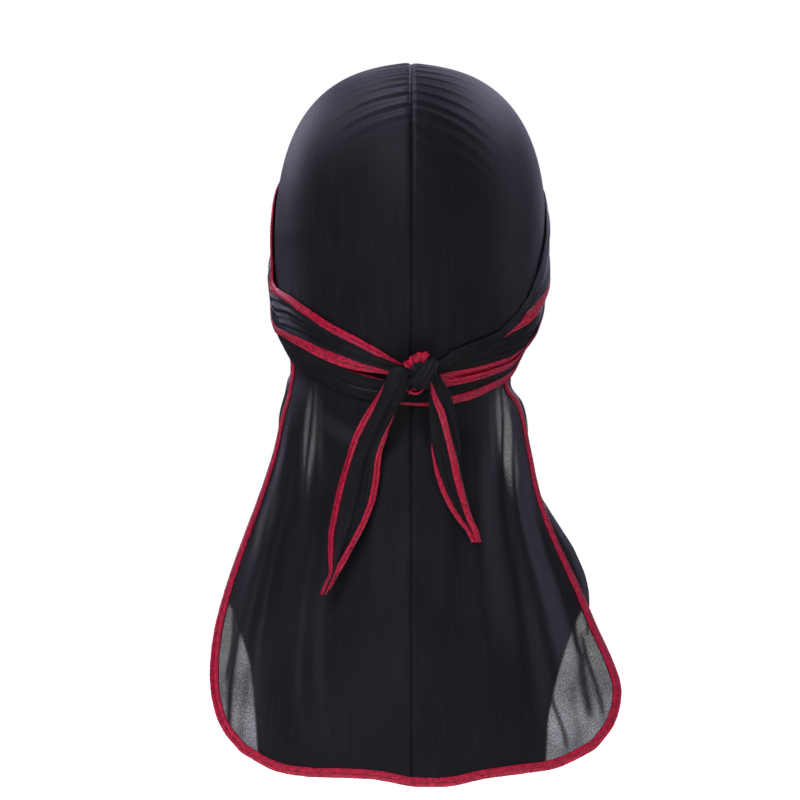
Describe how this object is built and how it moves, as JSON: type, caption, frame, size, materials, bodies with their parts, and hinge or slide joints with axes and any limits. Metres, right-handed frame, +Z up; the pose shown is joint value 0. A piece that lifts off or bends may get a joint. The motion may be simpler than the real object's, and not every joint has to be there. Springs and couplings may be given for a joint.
{
  "type": "durag",
  "caption": "Black satin durag as worn: seamed crown, long flared tail, crimson bound edges, and two long ties that go round the head and knot at the nape.",
  "frame": {"origin": "the top of the wearer's head, where it touches the inside of the crown", "axes": "+Z up; the wearer faces +Y, so the knot and the tail are on the -Y side; +X is the wearer's right"},
  "size_m": [0.2398, 0.1995, 0.4109],
  "materials": {
    "black_satin": "soft satin",
    "crimson_satin": "satin tape"
  },
  "bodies": {
    "root": {"left_panel": "black_satin", "right_panel": "black_satin", "left_tie": "black_satin", "right_tie": "black_satin", "left_tie_end": "black_satin", "right_tie_end": "black_satin", "knot_bundle": "black_satin", "knot_wrap": "black_satin", "tail_tape": "crimson_satin", "brow_tape": "crimson_satin", "left_tie_upper_tape": "crimson_satin", "left_tie_lower_tape": "crimson_satin", "right_tie_upper_tape": "crimson_satin", "right_tie_lower_tape": "crimson_satin", "right_tie_return_tape": "crimson_satin", "left_end_outer_tape": "crimson_satin", "left_end_inner_tape": "crimson_satin", "right_end_outer_tape": "crimson_satin", "right_end_inner_tape": "crimson_satin"}
  },
  "joints": []
}
